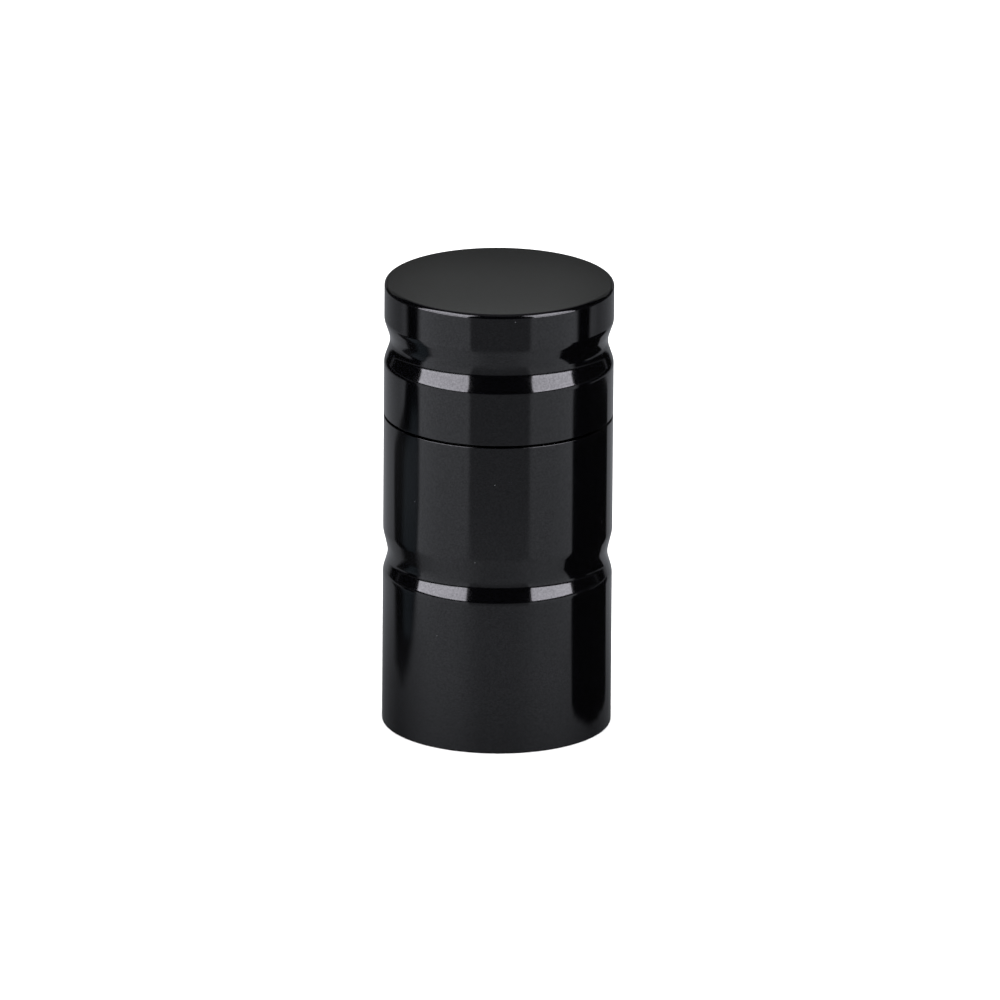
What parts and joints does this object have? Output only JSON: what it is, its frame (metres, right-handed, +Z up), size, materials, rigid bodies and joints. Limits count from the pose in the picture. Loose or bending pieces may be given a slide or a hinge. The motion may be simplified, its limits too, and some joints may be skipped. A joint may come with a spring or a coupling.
{
  "type": "hand grinder",
  "caption": "Black hand grinder: a round grooved lid turns and lifts off a grooved barrel that holds toothed plates, a sieve and a screwed base cap.",
  "frame": {"origin": "middle of the ring that the barrel stands on, at the base of the whole grinder", "axes": "+Z up along the turning axis, from the base towards the lid; +X along the coin slot in the base cap"},
  "size_m": [0.04, 0.04, 0.08],
  "materials": {
    "black_anodised_aluminium": "black anodised, satin gloss",
    "machined_aluminium": "milled and turned, clear anodised",
    "stainless_steel": "bright, finely turned",
    "nickel_plate": "bright nickel plate",
    "black_acetal": "turned, satin",
    "nitrile_rubber": "moulded, matt"
  },
  "bodies": {
    "barrel": {"body_shell": "black_anodised_aluminium", "screen_frame": "stainless_steel", "screen_mesh": "stainless_steel", "screen_lock_ring": "stainless_steel"},
    "plate_seal": {"plate_gasket": "nitrile_rubber"},
    "tooth_plate": {"lower_tooth_plate": "machined_aluminium", "center_post": "stainless_steel", "post_nut": "stainless_steel", "post_magnet": "nickel_plate"},
    "glide": {"glide_ring": "black_acetal"},
    "lid": {"lid_shell": "black_anodised_aluminium", "upper_tooth_plate": "machined_aluminium", "upper_plate_screw_1": "stainless_steel", "upper_plate_screw_2": "stainless_steel", "upper_plate_screw_3": "stainless_steel", "lid_magnet": "nickel_plate", "hub_bush": "black_acetal"},
    "base_seal": {"base_o_ring": "nitrile_rubber"},
    "base": {"base_cap": "black_anodised_aluminium", "scraper": "stainless_steel"}
  },
  "joints": [
    {"name": "plate_rise", "type": "slide", "parent": "barrel", "child": "plate_seal", "axis": [0, 0, 1], "range_m": [0, 0.0061]},
    {"name": "plate_unscrew", "type": "hinge", "parent": "plate_seal", "child": "tooth_plate", "pos_m": [0, 0, 0.0506], "axis": [0, 0, 1], "range_deg": [0, 1440]},
    {"name": "lid_lift", "type": "slide", "parent": "tooth_plate", "child": "glide", "axis": [0, 0, 1], "range_m": [0, 0.04]},
    {"name": "lid_turn", "type": "hinge", "parent": "glide", "child": "lid", "pos_m": [0, 0, 0.068], "axis": [0, 0, 1], "continuous": true},
    {"name": "base_drop", "type": "slide", "parent": "barrel", "child": "base_seal", "axis": [0, 0, -1], "range_m": [0, 0.0061]},
    {"name": "base_unscrew", "type": "hinge", "parent": "base_seal", "child": "base", "pos_m": [0, 0, 0.0042], "axis": [0, 0, -1], "range_deg": [0, 1440]}
  ],
  "couplings": [
    {"joint": "plate_rise", "follows": "plate_unscrew", "m_per_rad": 0.00023873},
    {"joint": "base_drop", "follows": "base_unscrew", "m_per_rad": 0.00023873}
  ]
}
